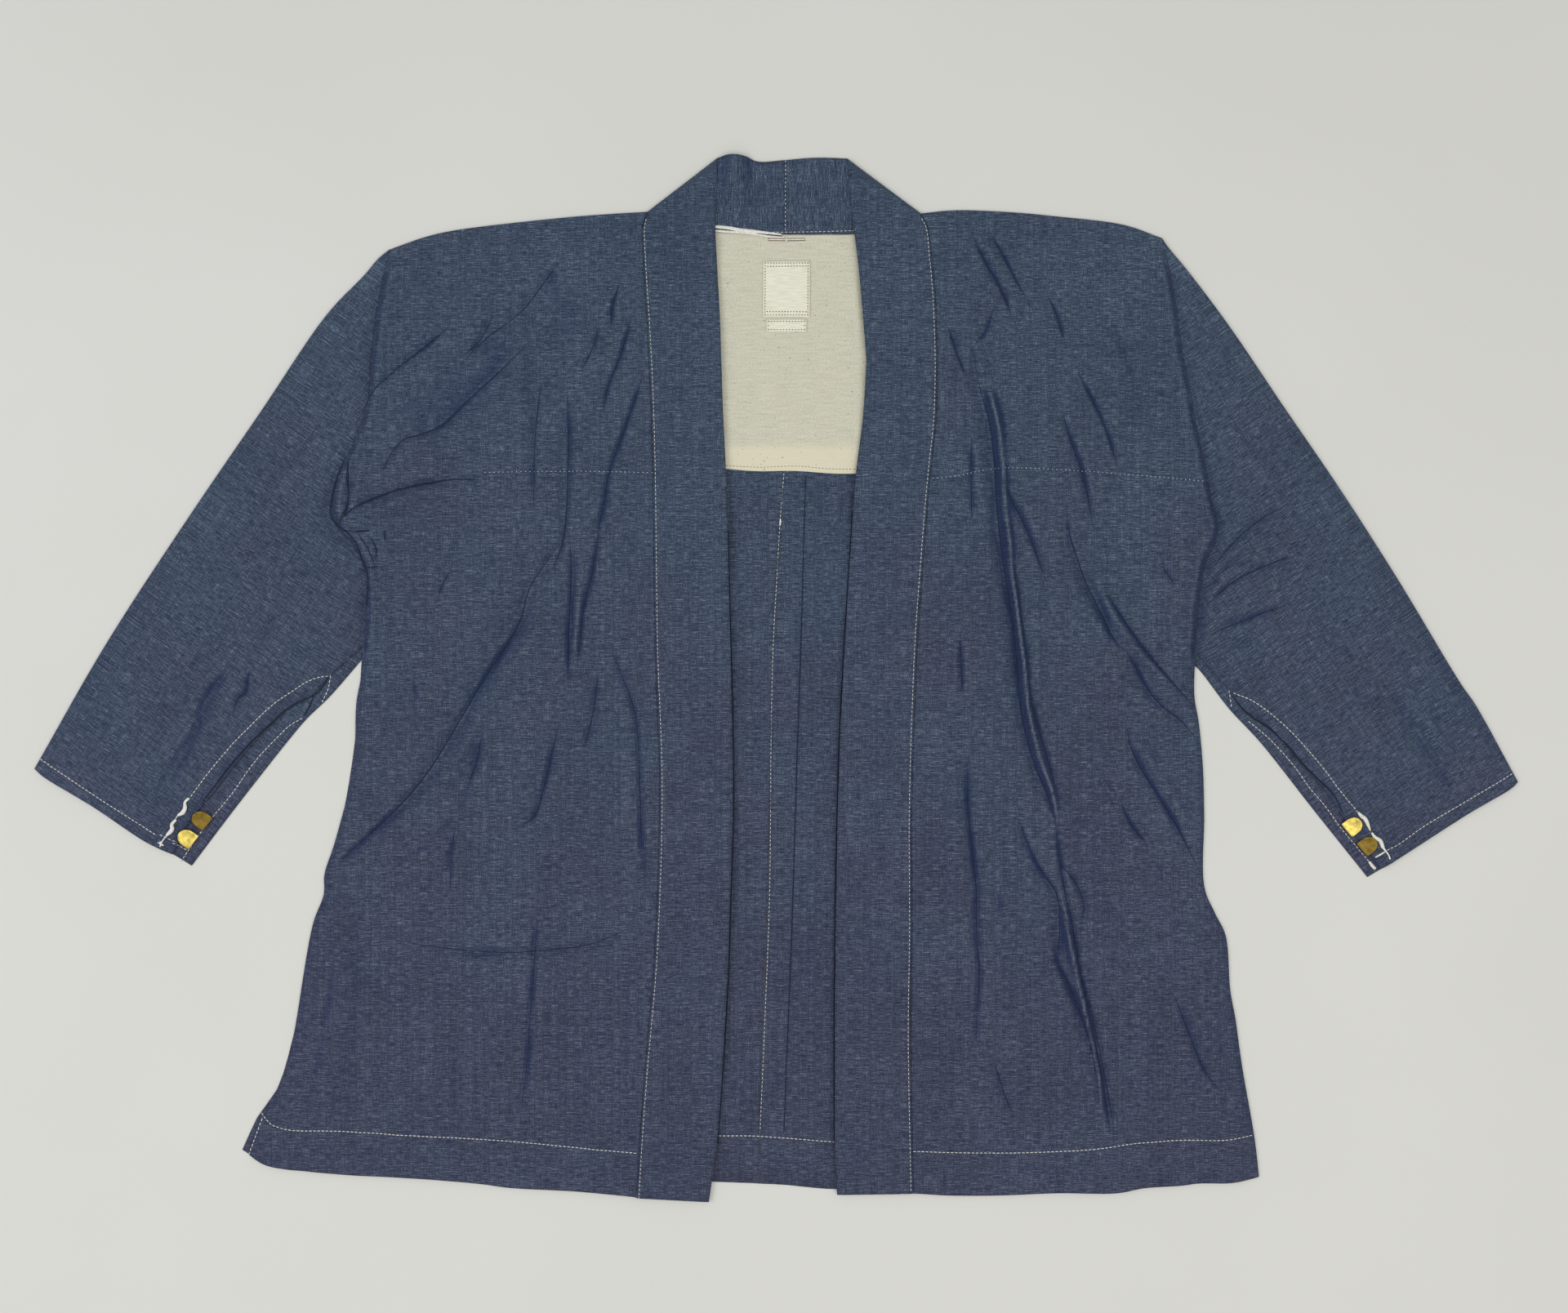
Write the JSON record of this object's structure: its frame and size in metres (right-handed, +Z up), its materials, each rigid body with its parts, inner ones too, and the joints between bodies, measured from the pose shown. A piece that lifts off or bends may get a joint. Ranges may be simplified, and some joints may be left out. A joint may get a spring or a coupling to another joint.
{
  "type": "noragi jacket",
  "caption": "Open-front work jacket with a band collar and three-quarter slit sleeves, laid flat on its back.",
  "frame": {"origin": "middle of the garment's outline on the surface it lies on", "axes": "+X from the wearer's right sleeve to the left one as seen, +Y from the hem to the neck, +Z up from the surface"},
  "size_m": [1.0524, 0.7426, 0.0086],
  "materials": {
    "chambray": "washed indigo plain weave",
    "lining": "cream cotton",
    "label": "blank woven tape",
    "brass": "satin"
  },
  "bodies": {
    "root": {"body_left": "chambray", "body_right": "chambray", "collar_left": "chambray", "collar_right": "chambray", "sleeve_left": "chambray", "sleeve_right": "chambray", "yoke_lining": "lining", "main_label": "label", "small_label": "label", "kohaze_left_1": "brass", "kohaze_left_2": "brass", "kohaze_right_1": "brass", "kohaze_right_2": "brass"}
  },
  "joints": []
}
